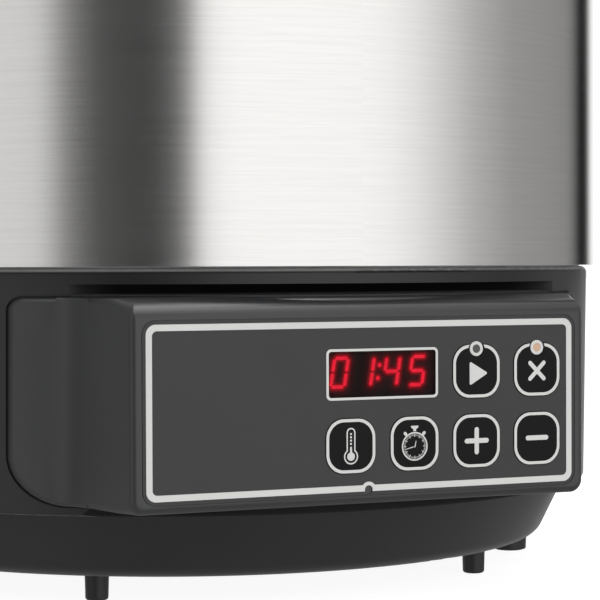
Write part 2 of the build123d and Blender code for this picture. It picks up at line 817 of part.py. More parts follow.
def gland_locknut():
    return Pos(0, 0, MAINS_Z) * Rot(-90, 0, 0) * hexagon_nut(24, 9.03, 180.5, 186.6)


# ---- control box --------------------------------------------------------------------------
def flank_half_w(y, inset):
    """Half width of the raised box at a depth, moved inwards by a wall."""
    lean = sqrt(1 + FLANK_SLOPE**2)
    return FACE_HALF_W + FLANK_SLOPE * (y - FACE_Y) - inset * lean


def raised_box(inset, y_back):
    """Raised part of the control box, or its cavity when inset by the wall."""
    y_front = FACE_Y + inset
    low = BOX_Z[0] + inset
    high = BOX_Z[1] - inset
    front_high = FACE_Z_TOP - inset
    back_corner = BACK_CORNER - inset
    front_corner = FACE_CORNER - inset
    sections = []
    for y, top, corner in (
        (y_back, high, back_corner),
        (TOP_KNEE_Y, high, back_corner),
        (y_front, front_high, front_corner),
    ):
        plane = Plane((0, y, 0), x_dir=(1, 0, 0), z_dir=(0, -1, 0))
        outline = rounded_outline(flank_half_w(y, inset), (low, top), corner, corner)
        sections.append(plane * outline)
    body = loft(sections[:2], ruled=True) + loft(sections[1:], ruled=True)
    front = body.faces().sort_by(Axis.Y)[0]
    body = fillet(front.edges(), EDGE_R - inset)

    # the top front edge is rounder than the others: trim it with a profile seen from the side
    below = low - 5
    beyond = y_front - 5
    middle = (low + high) / 2
    profile = [
        (y_back, below),
        (beyond, below),
        (beyond, middle),
        (y_front, middle),
        (y_front, front_high),
        (TOP_KNEE_Y, high),
        (y_back, high),
    ]
    radii = [0, 0, 0, 0, EDGE_TOP_R - inset, 0, 0]
    side_face = make_face(FilletPolyline(*profile, radius=radii, close=True))
    return body & extrude(Plane.YZ * side_face, amount=150, both=True)


def flare_plan(z):
    """Plan of the blend between flank and flange at a height: its centre and what it spans."""
    sink = 0.15
    rise = (z - RING_Z_RIM) / (RING_Z_TOP - RING_Z_RIM)
    flange_r = RING_R_RIM + (RING_R_TOP - RING_R_RIM) * rise + BOX_PROUD
    lean = sqrt(1 + FLANK_SLOPE**2)
    flank_x = FACE_HALF_W - FLANK_SLOPE * FACE_Y

    def meeting(offset):
        """Where the flank and the flange cross when both are moved out by an offset."""
        base_x = flank_x + offset * lean
        reach = flange_r + offset
        half_b = base_x * FLANK_SLOPE
        y = (-half_b - sqrt(half_b**2 - lean**2 * (base_x**2 - reach**2))) / lean**2
        return Vector(base_x + FLANK_SLOPE * y, y, z)

    centre = meeting(FLARE_R - sink)
    root = meeting(-1.2)
    span = FLARE_R + 0.4
    flank_foot = centre - Vector(1, -FLANK_SLOPE, 0) * (span / lean)
    flange_foot = centre - Vector(centre.X, centre.Y, 0).normalized() * span
    return centre, [root, flank_foot, centre, flange_foot]


def flare():
    """Concave blend from the raised box's right flank into the flange, with rounded ends."""
    low, high = BOX_Z
    centre_low, plan_low = flare_plan(low)
    centre_high, plan_high = flare_plan(high)
    faces = [make_face(Polyline(*plan, close=True)) for plan in (plan_low, plan_high)]
    wedge = loft(faces, ruled=True)
    axis = centre_high - centre_low
    beyond = FLARE_R + FLARE_EDGE_R + 1
    cutter = turned(
        [
            (0, -1),
            (beyond, -1),
            (beyond, 0),
            (FLARE_R, 0),
            (FLARE_R, axis.length),
            (beyond, axis.length),
            (beyond, axis.length + 1),
            (0, axis.length + 1),
        ],
        [0, 0, 0, FLARE_EDGE_R, FLARE_EDGE_R, 0, 0, 0],
    )
    return wedge - Plane(centre_low, z_dir=axis).location * cutter


def button_outline(grow):
    return RectangleRounded(BUTTON_W + 2 * grow, BUTTON_W + 2 * grow, BUTTON_R + grow)


def led_positions():
    return [(BUTTONS[name][0], BUTTONS[name][1] + LED_RISE) for name in ("start", "cancel")]


def panel_openings(grow):
    """Sketch of everything that comes through the panel."""
    openings = Pos(*DISPLAY_POS) * RectangleRounded(
        DISPLAY_SIZE[0] + 2 * grow, DISPLAY_SIZE[1] + 2 * grow, DISPLAY_R + grow
    )
    for x, z in BUTTONS.values():
        openings += Pos(x, z) * button_outline(BUTTON_CLEAR)
    for x, z in led_positions():
        openings += Pos(x, z) * Circle(LED_BEZEL_D / 2 + 0.05)
    return openings


def control_housing():
    """Moulded box: a flange that follows the base ring and a raised, flat-faced front."""
    seat_cone = ring_cone(-1.0)
    flange = front_slab(box_outline(0), -215, -120) & (ring_cone(BOX_PROUD) - seat_cone)
    rims = flange.faces().sort_by(SortBy.AREA)[-2:].sort_by(Axis.Y)[0].edges()
    flange = fillet(rims, FLANGE_EDGE_R)
    blend = flare()
    housing = flange + (raised_box(0, -150) - seat_cone) + blend + mirror(blend, Plane.YZ)
    housing -= raised_box(BOX_WALL, -120)

    inner_y = FACE_Y + BOX_WALL
    frame = block((-SKIRT_HALF_W, SKIRT_HALF_W), (inner_y - 0.5, SKIRT_BACK_Y), SKIRT_Z)
    hollow_z = (SKIRT_Z[0] + 2, SKIRT_Z[1] - 2)
    frame -= block((-SKIRT_HALF_W + 2, SKIRT_HALF_W - 2), (-210, -150), hollow_z)
    housing += frame
    for x, z in COVER_POSTS:
        housing += front_pin(x, z, 3.8, inner_y - 0.5, SKIRT_BACK_Y)
        housing -= front_pin(x, z, SCREW_R + SCREW_FIT, -184, -160)
    for x, z in PCB_POSTS:
        housing += front_pin(x, z, 2.5, inner_y - 0.5, PCB_FRONT_Y)
        housing -= front_pin(x, z, SMALL_SCREW_R + SCREW_FIT, inner_y + 0.8, -180)

    width, height = OVERLAY_SIZE
    pocket = RectangleRounded(
        width + 2 * OVERLAY_GAP, height + 2 * OVERLAY_GAP, OVERLAY_R + OVERLAY_GAP
    )
    housing -= front_slab(Pos(0, FRAME_Z) * pocket, FACE_Y - 5, FACE_Y + OVERLAY_T)
    housing -= front_slab(panel_openings(0.15), FACE_Y - 5, inner_y + 0.6)
    return housing


def panel_overlay():
    """Front sheet with its openings and the small locating hole at the bottom."""
    sheet = Pos(0, FRAME_Z) * RectangleRounded(*OVERLAY_SIZE, OVERLAY_R)
    sheet -= panel_openings(0.05)
    sheet -= Pos(0, NOTCH_Z) * Circle(NOTCH_HOLE_D / 2)
    return front_slab(sheet, FACE_Y, FACE_Y + OVERLAY_T)


def panel_print():
    """Silver border line, which arches over the locating hole, and the display's outline."""
    width, height = FRAME_SIZE
    line = RectangleRounded(width, height, FRAME_R)
    line -= RectangleRounded(width - 2 * FRAME_LINE, height - 2 * FRAME_LINE, FRAME_R - 2)
    border = Pos(0, FRAME_Z) * line
    border += Pos(0, NOTCH_Z) * Circle(NOTCH_ARCH_D / 2)
    border -= Pos(0, NOTCH_Z) * Circle(NOTCH_HOLE_D / 2)
    border &= Pos(0, FRAME_Z) * Rectangle(width, height)
    width, height = DISPLAY_SIZE
    outline = RectangleRounded(width, height, DISPLAY_R)
    width -= 2 * DISPLAY_LINE
    height -= 2 * DISPLAY_LINE
    outline -= RectangleRounded(width, height, DISPLAY_R - DISPLAY_LINE * 0.8)
    prints = [
        front_slab(border, FACE_Y - PRINT_T, FACE_Y),
        front_slab(Pos(*DISPLAY_POS) * outline, FACE_Y - PRINT_T, FACE_Y),
    ]
    return Compound(children=prints)


def display_window():
    lens = RectangleRounded(*DISPLAY_SIZE, DISPLAY_R)
    return front_slab(Pos(*DISPLAY_POS) * lens, FACE_Y, FACE_Y + LENS_T)


def display_module():
    outline = RectangleRounded(DISPLAY_SIZE[0] - 0.4, DISPLAY_SIZE[1] - 0.4, DISPLAY_R - 0.2)
    return front_slab(Pos(*DISPLAY_POS) * outline, FACE_Y + LENS_T + 0.1, PCB_FRONT_Y)


def segment_outline(name):
    """One bar of a seven-segment digit, centred on the digit, before its slant."""
    half_t = SEGMENT_W / 2
    half_w = DIGIT_W / 2 - half_t
    half_h = DIGIT_H / 2 - half_t
    levels = {"a": half_h, "g": 0.0, "d": -half_h}
    if name in levels:
        x, z = 0.0, levels[name]
        reach_x, reach_z = half_w - SEGMENT_GAP, half_t
    else:
        x = half_w if name in "bc" else -half_w
        z = half_h / 2 if name in "bf" else -half_h / 2
        reach_x, reach_z = half_t, half_h / 2 - SEGMENT_GAP
    corners = []
    for side_x, side_z in ((-1, -1), (1, -1), (1, 1), (-1, 1)):
        along = (x + side_x * (reach_x - SEGMENT_CUT), z + side_z * reach_z)
        beside = (x + side_x * reach_x, z + side_z * (reach_z - SEGMENT_CUT))
        corners += [beside, along] if side_x == side_z else [along, beside]
    return corners


def digit_segments():
    """The lit segments of the four digits, with the colon between the pairs."""
    bars = []
    front = FACE_Y + LENS_T + 0.02
    for place, shown in enumerate(DIGITS):
        centre_x = DIGIT_X0 + place * DIGIT_PITCH
        for name in shown:
            points = [
                (centre_x + x + DIGIT_SLANT * z, DIGIT_Z + z) for x, z in segment_outline(name)
            ]
            bar = make_face(Polyline(*points, close=True))
            bars.append(front_slab(bar, front, front + DIGIT_T))
    for side in (-1, 1):
        z = side * COLON_RISE
        x = DIGIT_X0 + 1.5 * DIGIT_PITCH + DIGIT_SLANT * z
        bars.append(front_pin(x, DIGIT_Z + z, COLON_R, front, front + DIGIT_T))
    return Compound(children=bars)


def button_cap(name):
    """Push cap: rounded face, retaining flange behind the panel, stem to the switch."""
    x, z = BUTTONS[name]
    inner_y = FACE_Y + BOX_WALL
    cap = front_slab(button_outline(0), FACE_Y - BUTTON_PROUD, inner_y + 0.1)
    cap = fillet(cap.faces().sort_by(Axis.Y)[0].edges(), 0.3)
    cap += front_slab(button_outline(BUTTON_FLANGE), inner_y + 0.05, inner_y + 1.0)
    cap += front_pin(0, 0, 2.5, inner_y + 0.9, inner_y + 1.6)
    cap = Pos(x, 0, z) * cap
    for led_x, led_z in led_positions():
        cap -= front_pin(led_x, led_z, LED_BEZEL_D / 2 + 0.3, -210, -180)
    return cap


def led_bezels():
    rings = []
    for x, z in led_positions():
        ring = front_pin(x, z, LED_BEZEL_D / 2, FACE_Y - 0.25, PCB_FRONT_Y)
        rings.append(ring - front_pin(x, z, LED_D / 2 + 0.03, -210, -180))
    return Compound(children=rings)


def light_pipes():
    rods = [
        front_pin(x, z, LED_D / 2, FACE_Y - 0.15, PCB_FRONT_Y - 1.4) for x, z in led_positions()
    ]
    return Compound(children=rods)


def indicator_leds():
    chips = []
    for x, z in led_positions():
        chips.append(block((x - 1.2, x + 1.2), (PCB_FRONT_Y - 1.2, PCB_FRONT_Y), (z - 1, z + 1)))
    return Compound(children=chips)


def control_board():
    middle = (PCB_Z[0] + PCB_Z[1]) / 2
    outline = Pos(0, middle) * Rectangle(2 * PCB_HALF_W, PCB_Z[1] - PCB_Z[0])
    for x, z in PCB_POSTS:
        outline -= Pos(x, z) * Circle(1.2)
    return front_slab(outline, PCB_FRONT_Y, PCB_FRONT_Y + PCB_T)


def tact_switches():
    switches = []
    for x, z in BUTTONS.values():
        body = block((x - 3, x + 3), (PCB_FRONT_Y - 3.4, PCB_FRONT_Y), (z - 3, z + 3))
        switches.append(body + front_pin(x, z, 1.75, PCB_FRONT_Y - 4.5, PCB_FRONT_Y))
    return Compound(children=switches)


def rear_cover():
    middle = (SKIRT_Z[0] + SKIRT_Z[1]) / 2
    outline = Pos(0, middle) * Rectangle(2 * SKIRT_HALF_W, SKIRT_Z[1] - SKIRT_Z[0])
    outline -= Pos(0, CABLE_Z) * Circle(3.0)
    for x, z in COVER_POSTS:
        outline -= Pos(x, z) * Circle(SCREW_R + 0.2)
    return front_slab(outline, SKIRT_BACK_Y, SKIRT_BACK_Y + COVER_T)


def rear_cover_screws():
    screw = Rot(-90, 0, 0) * pan_screw(SCREW_R, 11, 2.8, 1.9)
    back = SKIRT_BACK_Y + COVER_T
    return Compound(children=[Pos(x, back, z) * screw for x, z in COVER_POSTS])


# ---- build --------------------------------------------------------------------------------
def build():
    nodes = {
        "vessel_shell": vessel_shell(),
        "handle_brackets": handle_brackets(),
        "handle_left": handle(-1),
        "handle_right": handle(1),
        "handle_screws": handle_screws(),
        "lid_shell": lid_shell(),
        "lid_knob": lid_knob(),
        "knob_collar": knob_collar(),
        "knob_screw": knob_screw(),
        "vent_grommet": vent_grommet(),
        "jar_rack": jar_rack(),
        "base_ring": base_ring(),
        "base_tray": base_tray(),
        "tray_screws": tray_screws(),
        "slim_feet": repeated(SLIM_FOOT_ANGLES, SLIM_FOOT_R, slim_foot()),
        "wide_feet": repeated(WIDE_FOOT_ANGLES, WIDE_FOOT_R, wide_foot()),
        "foot_pads": repeated(WIDE_FOOT_ANGLES, WIDE_FOOT_R, foot_pad()),
        "seat_gasket": seat_gasket(),
        "tie_rods": tie_rods(),
        "tie_rod_nuts": tie_rod_nuts(),
        "shield_spacers": shield_spacers(),
        "heat_plate": heat_plate(),
        "heating_element": heating_element(),
        "terminal_insulators": terminal_insulators(),
        "terminal_tabs": terminal_tabs(),
        "thermal_cutout": thermal_cutout(),
        "temperature_sensor": temperature_sensor(),
        "sensor_spring": sensor_spring(),
        "heat_shield": heat_shield(),
        "power_board": power_board(),
        "board_screws": board_screws(),
        "power_relay": on_board(32, 32, (19, 28, 17)),
        "power_supply_module": on_board(18, 4, (28, 16, 15)),
        "terminal_block": terminal_block(),
        "power_capacitor": power_capacitor(),
        "buzzer": buzzer(),
        "heater_wiring": heater_wiring(),
        "sensor_lead": sensor_lead(),
        "panel_cable": panel_cable(),
        "mains_gland": mains_gland(),
        "gland_locknut": gland_locknut(),
        "control_housing": control_housing(),
        "panel_overlay": panel_overlay(),
        "panel_print": panel_print(),
        "display_window": display_window(),
        "display_module": display_module(),
        "digit_segments": digit_segments(),
        "led_bezels": led_bezels(),
        "light_pipes": light_pipes(),
        "indicator_leds": indicator_leds(),
        "control_board": control_board(),
        "tact_switches": tact_switches(),
        "rear_cover": rear_cover(),
        "rear_cover_screws": rear_cover_screws(),
    }
    for name in BUTTONS:
        nodes[f"button_{name}"] = button_cap(name)
    return nodes


os.makedirs("parts", exist_ok=True)
for node, shape in build().items():
    save(node, shape)
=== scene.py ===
import math

import bmesh
import bpy
from mathutils import Matrix, Vector


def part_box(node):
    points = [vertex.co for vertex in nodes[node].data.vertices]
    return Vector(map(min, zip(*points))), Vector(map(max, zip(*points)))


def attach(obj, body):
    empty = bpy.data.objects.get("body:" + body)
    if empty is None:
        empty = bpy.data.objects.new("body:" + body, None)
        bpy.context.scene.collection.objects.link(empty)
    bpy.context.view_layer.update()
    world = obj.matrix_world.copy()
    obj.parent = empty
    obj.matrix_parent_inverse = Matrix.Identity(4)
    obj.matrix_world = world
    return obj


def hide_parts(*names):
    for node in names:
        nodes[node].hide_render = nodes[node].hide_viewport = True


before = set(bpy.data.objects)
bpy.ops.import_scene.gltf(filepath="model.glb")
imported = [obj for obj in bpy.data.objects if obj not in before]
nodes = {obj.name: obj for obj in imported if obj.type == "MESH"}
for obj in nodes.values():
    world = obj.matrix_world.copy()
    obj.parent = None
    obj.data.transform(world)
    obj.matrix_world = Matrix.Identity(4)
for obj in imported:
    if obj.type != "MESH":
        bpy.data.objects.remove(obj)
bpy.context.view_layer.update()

MM = 0.001
CAP_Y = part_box("button_plus")[0].y  # the keys' front faces
PRINT_T = 0.02 * MM


# ---- node material helpers ----------------------------------------------------------------
class Graph:
    """A material's node tree, with short calls for the nodes that repeat."""

    def __init__(self, name, material=None):
        self.material = material or bpy.data.materials.new(name)
        self.material.use_nodes = True
        self.nodes = self.material.node_tree.nodes
        self.links = self.material.node_tree.links
        self.shader = self.nodes["Principled BSDF"]

    def add(self, kind, **values):
        node = self.nodes.new(kind)
        for key, value in values.items():
            setattr(node, key, value)
        return node

    def link(self, source, target):
        self.links.new(source, target)

    def position(self):
        return self.add("ShaderNodeTexCoord").outputs["Object"]

    def scaled(self, source, scale):
        node = self.add("ShaderNodeMapping")
        node.inputs["Scale"].default_value = scale
        self.link(source, node.inputs["Vector"])
        return node.outputs["Vector"]

    def noise(self, source, scale, detail=3.0, roughness=0.5):
        node = self.add("ShaderNodeTexNoise")
        node.inputs["Scale"].default_value = scale
        node.inputs["Detail"].default_value = detail
        node.inputs["Roughness"].default_value = roughness
        self.link(source, node.inputs["Vector"])
        return node.outputs["Fac"]

    def ramp(self, source, stops):
        node = self.add("ShaderNodeValToRGB")
        elements = node.color_ramp.elements
        while len(elements) < len(stops):
            elements.new(0.5)
        for element, (place, colour) in zip(elements, stops):
            element.position = place
            element.color = (*colour, 1.0)
        self.link(source, node.inputs["Fac"])
        return node.outputs["Color"]

    def span(self, source, low, high):
        node = self.add("ShaderNodeMapRange")
        node.inputs["To Min"].default_value = low
        node.inputs["To Max"].default_value = high
        self.link(source, node.inputs["Value"])
        return node.outputs["Result"]

    def bump(self, source, strength, distance):
        node = self.add("ShaderNodeBump")
        node.inputs["Strength"].default_value = strength
        node.inputs["Distance"].default_value = distance
        self.link(source, node.inputs["Height"])
        return node.outputs["Normal"]

    def math(self, operation, first, second=None):
        node = self.add("ShaderNodeMath", operation=operation)
        for index, value in enumerate((first, second)):
            if isinstance(value, (int, float)):
                node.inputs[index].default_value = value
            elif value is not None:
                self.link(value, node.inputs[index])
        return node.outputs[0]

    def set(self, **values):
        names = {
            "metallic": "Metallic",
            "roughness": "Roughness",
            "specular": "Specular IOR Level",
            "anisotropy": "Anisotropic",
            "rotation": "Anisotropic Rotation",
            "alpha": "Alpha",
            "sheen": "Sheen Weight",
            "sheen_roughness": "Sheen Roughness",
            "emission": "Emission Strength",
        }
        for key, value in values.items():
            self.shader.inputs[names[key]].default_value = value


def grey(value):
    return (value, value, value)


def tint(colour, factor):
    return tuple(min(1.0, channel * factor) for channel in colour)


def around_axis(graph):
    """Coordinates wrapped round the Z axis: length along the wall, height, and radius."""
    split = graph.add("ShaderNodeSeparateXYZ")
    graph.link(graph.position(), split.inputs["Vector"])
    x, y, z = split.outputs
    angle = graph.math("ARCTAN2", x, y)
    square = graph.math("ADD", graph.math("MULTIPLY", x, x), graph.math("MULTIPLY", y, y))
    radius = graph.math("SQRT", square)
    join = graph.add("ShaderNodeCombineXYZ")
    graph.link(graph.math("MULTIPLY", angle, radius), join.inputs["X"])
    graph.link(radius, join.inputs["Y"])
    graph.link(z, join.inputs["Z"])
    return join.outputs["Vector"], radius


def brushed_round_steel(name, wall, roughness=0.24, colour=(0.79, 0.78, 0.765)):
    """Steel brushed round the axis: lines along the wall when wall is true, rings when not."""
    graph = Graph(name)
    wrapped, radius = around_axis(graph)
    stretch = (45, 60, 2600) if wall else (45, 2600, 60)
    fine = graph.noise(graph.scaled(wrapped, stretch), 1.0, detail=3.0, roughness=0.6)
    stretch = (14, 20, 700) if wall else (14, 700, 20)
    broad = graph.noise(graph.scaled(wrapped, stretch), 1.0, detail=2.0)
    clouds = graph.noise(graph.position(), 14.0, detail=3.0)
    lines = graph.math("MULTIPLY", graph.math("ADD", fine, broad), 0.5)
    graph.link(
        graph.ramp(lines, [(0.3, tint(colour, 0.95)), (0.7, tint(colour, 1.04))]),
        graph.shader.inputs["Base Color"],
    )
    uneven = graph.math("ADD", graph.span(lines, -0.03, 0.03), graph.span(clouds, -0.012, 0.012))
    graph.link(graph.math("ADD", uneven, roughness), graph.shader.inputs["Roughness"])
    graph.link(graph.bump(fine, 0.12, 0.00002), graph.shader.inputs["Normal"])
    tangent = graph.add("ShaderNodeTangent", direction_type="RADIAL", axis="Z")
    graph.link(tangent.outputs["Tangent"], graph.shader.inputs["Tangent"])
    graph.set(metallic=1.0, anisotropy=0.88, rotation=0.25)
    return graph.material


def plastic(
    name, colour, roughness, grain=0.35, size=2600.0, mottling=0.08, specular=0.5, sheen=0.0
):
    """Moulded plastic with a spark-eroded grain and slight unevenness in gloss and colour."""
    graph = Graph(name)
    place = graph.position()
    texture = graph.noise(place, size, detail=2.0, roughness=0.6)
    clouds = graph.noise(place, 22.0, detail=4.0)
    stops = [(0.3, tint(colour, 1 - mottling)), (0.7, tint(colour, 1 + mottling))]
    graph.link(graph.ramp(clouds, stops), graph.shader.inputs["Base Color"])
    uneven = graph.math("ADD", graph.span(clouds, -0.04, 0.04), graph.span(texture, -0.05, 0.05))
    graph.link(graph.math("ADD", uneven, roughness), graph.shader.inputs["Roughness"])
    graph.link(graph.bump(texture, grain, 0.00005), graph.shader.inputs["Normal"])
    graph.set(specular=specular, sheen=sheen, sheen_roughness=0.4)
    return graph.material


def plastic_with_painted_highlight(name, colour, highlight_colour, highlight_z, blend=0.8 * MM):
    """Grained plastic with a painted highlight: it turns lighter, over a short blend, above a
    height.
    """
    material = plastic(name, colour, 0.42, sheen=0.12)
    graph = Graph(name, material)
    base = graph.shader.inputs["Base Color"].links[0].from_socket
    parts = graph.add("ShaderNodeSeparateXYZ")
    graph.link(graph.position(), parts.inputs["Vector"])
    above = graph.math("SUBTRACT", parts.outputs["Z"], highlight_z - blend / 2)
    mix = graph.add("ShaderNodeMix", data_type="RGBA")
    # a colour mix takes its factor, two colours and result at these places
    graph.link(graph.math("DIVIDE", above, blend), mix.inputs[0])
    graph.link(base, mix.inputs[6])
    mix.inputs[7].default_value = (*highlight_colour, 1.0)
    graph.link(mix.outputs[2], graph.shader.inputs["Base Color"])
    return material


def painted_slot_shade(name, middle, ends, start, stop):
    """Dull plastic with painted shade for a slot along X, lighter towards the slot's open ends."""
    material = plastic(name, middle, 0.7, specular=0.15)
    graph = Graph(name, material)
    parts = graph.add("ShaderNodeSeparateXYZ")
    graph.link(graph.position(), parts.inputs["Vector"])
    aside = graph.math("SUBTRACT", graph.math("ABSOLUTE", parts.outputs["X"]), start)
    clouds = graph.noise(graph.position(), 22.0, detail=4.0)
    along = graph.math("DIVIDE", aside, stop - start)
    place = graph.math("ADD", along, graph.span(clouds, -0.05, 0.05))
    graph.link(graph.ramp(place, [(0.0, middle), (1.0, ends)]), graph.shader.inputs["Base Color"])
    return material


def gloss(name, colour, roughness=0.12, specular=0.5, alpha=1.0):
    """Smooth polished plastic with faint waviness and fine handling marks."""
    graph = Graph(name)
    place = graph.position()
    waves = graph.noise(place, 60.0, detail=2.0)
    marks = graph.noise(graph.scaled(place, (1, 1, 9)), 900.0, detail=3.0)
    stops = [(0.35, tint(colour, 0.94)), (0.65, tint(colour, 1.05))]
    graph.link(graph.ramp(waves, stops), graph.shader.inputs["Base Color"])
    uneven = graph.span(marks, roughness * 0.8, roughness * 1.3)
    graph.link(uneven, graph.shader.inputs["Roughness"])
    graph.link(graph.bump(waves, 0.06, 0.0001), graph.shader.inputs["Normal"])
    graph.set(specular=specular, alpha=alpha)
    return graph.material


def light_guides(name, split_x, left, right):
    """Cloudy clear rods: one tint on each side of a plane across X."""
    graph = Graph(name)
    parts = graph.add("ShaderNodeSeparateXYZ")
    graph.link(graph.position(), parts.inputs["Vector"])
    side = graph.math("GREATER_THAN", parts.outputs["X"], split_x)
    clouds = graph.noise(graph.position(), 700.0, detail=2.0)
    blend = graph.math("ADD", side, graph.span(clouds, -0.12, 0.12))
    graph.link(graph.ramp(blend, [(0.1, left), (0.9, right)]), graph.shader.inputs["Base Color"])
    graph.link(graph.span(clouds, 0.12, 0.3), graph.shader.inputs["Roughness"])
    return graph.material


def metal(name, colour, roughness, scale=500.0, patch=0.1):
    """Plain metal with fine scratches and cloudy patches."""
    graph = Graph(name)
    place = graph.position()
    fine = graph.noise(graph.scaled(place, (1, 1, 4)), scale, detail=4.0, roughness=0.6)
    clouds = graph.noise(place, 35.0, detail=3.0)
    stops = [(0.3, tint(colour, 1 - patch)), (0.7, tint(colour, 1 + patch / 2))]
    graph.link(graph.ramp(clouds, stops), graph.shader.inputs["Base Color"])
    uneven = graph.span(fine, roughness - 0.07, roughness + 0.07)
    graph.link(uneven, graph.shader.inputs["Roughness"])
    graph.link(graph.bump(fine, 0.2, 0.00004), graph.shader.inputs["Normal"])
    graph.set(metallic=1.0)
    return graph.material


def glowing(name, colour, strength):
    """Lit segment: a red body that shines, a little uneven along its length."""
    graph = Graph(name)
    uneven = graph.noise(graph.position(), 420.0, detail=1.0)
    stops = [(0.3, tint(colour, 0.86)), (0.7, tint(colour, 1.0))]
    shine = graph.ramp(uneven, stops)
    graph.link(shine, graph.shader.inputs["Base Color"])
    graph.link(shine, graph.shader.inputs["Emission Color"])
    graph.set(emission=strength, roughness=0.6)
    return graph.material


# ---- mesh helpers -------------------------------------------------------------------------
def add_mesh(name, mesh, material, body):
    piece = bpy.data.objects.new(name, mesh)
    bpy.context.scene.collection.objects.link(piece)
    mesh.materials.append(material)
    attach(piece, body)
    return piece


def smooth(mesh, degrees=35):
    mesh.polygons.foreach_set("use_smooth", [True] * len(mesh.polygons))
    mesh.set_sharp_from_angle(angle=math.radians(degrees))


def arc_points(centre, radius, start, end, steps):
    """Points of an arc in degrees, ends included."""
    points = []
    for index in range(steps + 1):
        angle = math.radians(start + (end - start) * index / steps)
        points.append((centre[0] + radius * math.cos(angle), centre[1] + radius * math.sin(angle)))
    return points


def lathe(name, profile, material, body, segments=256):
    """Solid of revolution about Z from a closed (r, z) outline in metres."""
    mesh = bpy.data.meshes.new(name)
    shape = bmesh.new()
    rings = []
    for step in range(segments):
        angle = 2 * math.pi * step / segments
        side = (math.cos(angle), math.sin(angle))
        rings.append([shape.verts.new((r * side[0], r * side[1], z)) for r, z in profile])
    count = len(profile)
    for step in range(segments):
        here, there = rings[step], rings[(step + 1) % segments]
        for index in range(count):
            following = (index + 1) % count
            shape.faces.new((here[index], there[index], there[following], here[following]))
    bmesh.ops.remove_doubles(shape, verts=shape.verts, dist=1e-7)
    bmesh.ops.recalc_face_normals(shape, faces=shape.faces)
    shape.to_mesh(mesh)
    shape.free()
    smooth(mesh)
    return add_mesh(name, mesh, material, body)


def rounded_loop(centre, size, radius, steps=10):
    """Rounded rectangle as one loop of (x, z) points."""
    half_w, half_h = size[0] / 2 - radius, size[1] / 2 - radius
    points = []
    for (sx, sz), start in (((1, 1), 0), ((-1, 1), 90), ((-1, -1), 180), ((1, -1), 270)):
        corner = (centre[0] + sx * half_w, centre[1] + sz * half_h)
        points += arc_points(corner, radius, start, start + 90, steps)
    return points


def circle_loop(centre, radius, steps=40):
    return arc_points(centre, radius, 0, 360, steps)[:-1]


def bar_loop(start, end, width, cap=6):
    """Round-ended bar between two points."""
    angle = math.degrees(math.atan2(end[1] - start[1], end[0] - start[0]))
    points = arc_points(end, width / 2, angle - 90, angle + 90, cap)
    return points + arc_points(start, width / 2, angle + 90, angle + 270, cap)


def inlay(name, loops, y_front, thickness, material, body):
    """Flat printed or inlaid piece that faces the front; inner loops are holes."""
    curve = bpy.data.curves.new(name, "CURVE")
    curve.dimensions = "2D"
    curve.fill_mode = "BOTH"
    curve.extrude = thickness / 2
    for loop in loops:
        spline = curve.splines.new("POLY")
        spline.points.add(len(loop) - 1)
        for point, (x, z) in zip(spline.points, loop):
            point.co = (x, z, 0, 1)
        spline.use_cyclic_u = True
    holder = bpy.data.objects.new(name + "_outline", curve)
    bpy.context.scene.collection.objects.link(holder)
    graph = bpy.context.evaluated_depsgraph_get()
    mesh = bpy.data.meshes.new_from_object(holder.evaluated_get(graph))
    bpy.data.objects.remove(holder)
    bpy.data.curves.remove(curve)
    mesh.name = name
    turn = Matrix.Rotation(math.radians(90), 4, "X")
    mesh.transform(Matrix.Translation((0, y_front + thickness / 2, 0)) @ turn)
    mesh.materials.clear()
    return add_mesh(name, mesh, material, body)


# ---- materials ----------------------------------------------------------------------------
SLOT_HALF_W = 0.1295  # half width and heights of the slot in the base above the control box, where its shade is painted
SLOT_LOW, SLOT_HIGH = 0.1280, 0.1312
SLOT_DARK_HALF_W = 0.09  # half width of the darkest stretch of the slot's painted shade
PAINTED_HIGHLIGHT_Z = 0.1361  # where the painted highlight on the base's rounded top edge begins
LAMP_SPLIT_X = 0.063  # midway between the two indicator lamps

WALL_STEEL = brushed_round_steel("wall_steel", wall=True)
LID_STEEL = brushed_round_steel(
    "lid_steel", wall=False, roughness=0.26, colour=(0.66, 0.655, 0.64)
)
# base plastic with a painted highlight: light grey on the rounded top edge, above the given height
BASE_PLASTIC = plastic_with_painted_highlight("base_plastic", (0.011, 0.011, 0.012), grey(0.48), PAINTED_HIGHLIGHT_Z)
# painted shade in the slot above the control box: near black in the middle, lighter towards its
# ends
PAINTED_SLOT_SHADE = painted_slot_shade(
    "painted_slot_shade", grey(0.009), grey(0.055), SLOT_DARK_HALF_W, SLOT_HALF_W
)
# painted shadow: near-black plastic on the base's lower edge under the control box
PAINTED_SHADOW_PLASTIC = plastic("painted_shadow_plastic", grey(0.008), 0.7, specular=0.15)
TRAY_PLASTIC = plastic("tray_plastic", (0.010, 0.010, 0.0105), 0.45, grain=0.5, sheen=0.12)
BOX_PLASTIC = plastic("box_plastic", (0.021, 0.0215, 0.023), 0.36, grain=0.2, specular=0.62)
GRIP_PLASTIC = plastic("grip_plastic", (0.010, 0.010, 0.011), 0.45, grain=0.7, size=1500.0)
PANEL_SHEET = plastic("panel_sheet", (0.023, 0.023, 0.0235), 0.5, grain=0.3, size=3500.0)
SILVER_PRINT = plastic("silver_print", (0.54, 0.54, 0.525), 0.38, grain=0.1, mottling=0.03)
KEY_BLACK = gloss("key_black", (0.006, 0.006, 0.0065), 0.35, specular=0.1)
LENS = gloss("smoked_lens", (0.004, 0.003, 0.003), 0.1, specular=0.12, alpha=0.3)
GUIDE = light_guides("light_guides", LAMP_SPLIT_X, (0.05, 0.05, 0.05), (0.5, 0.33, 0.22))
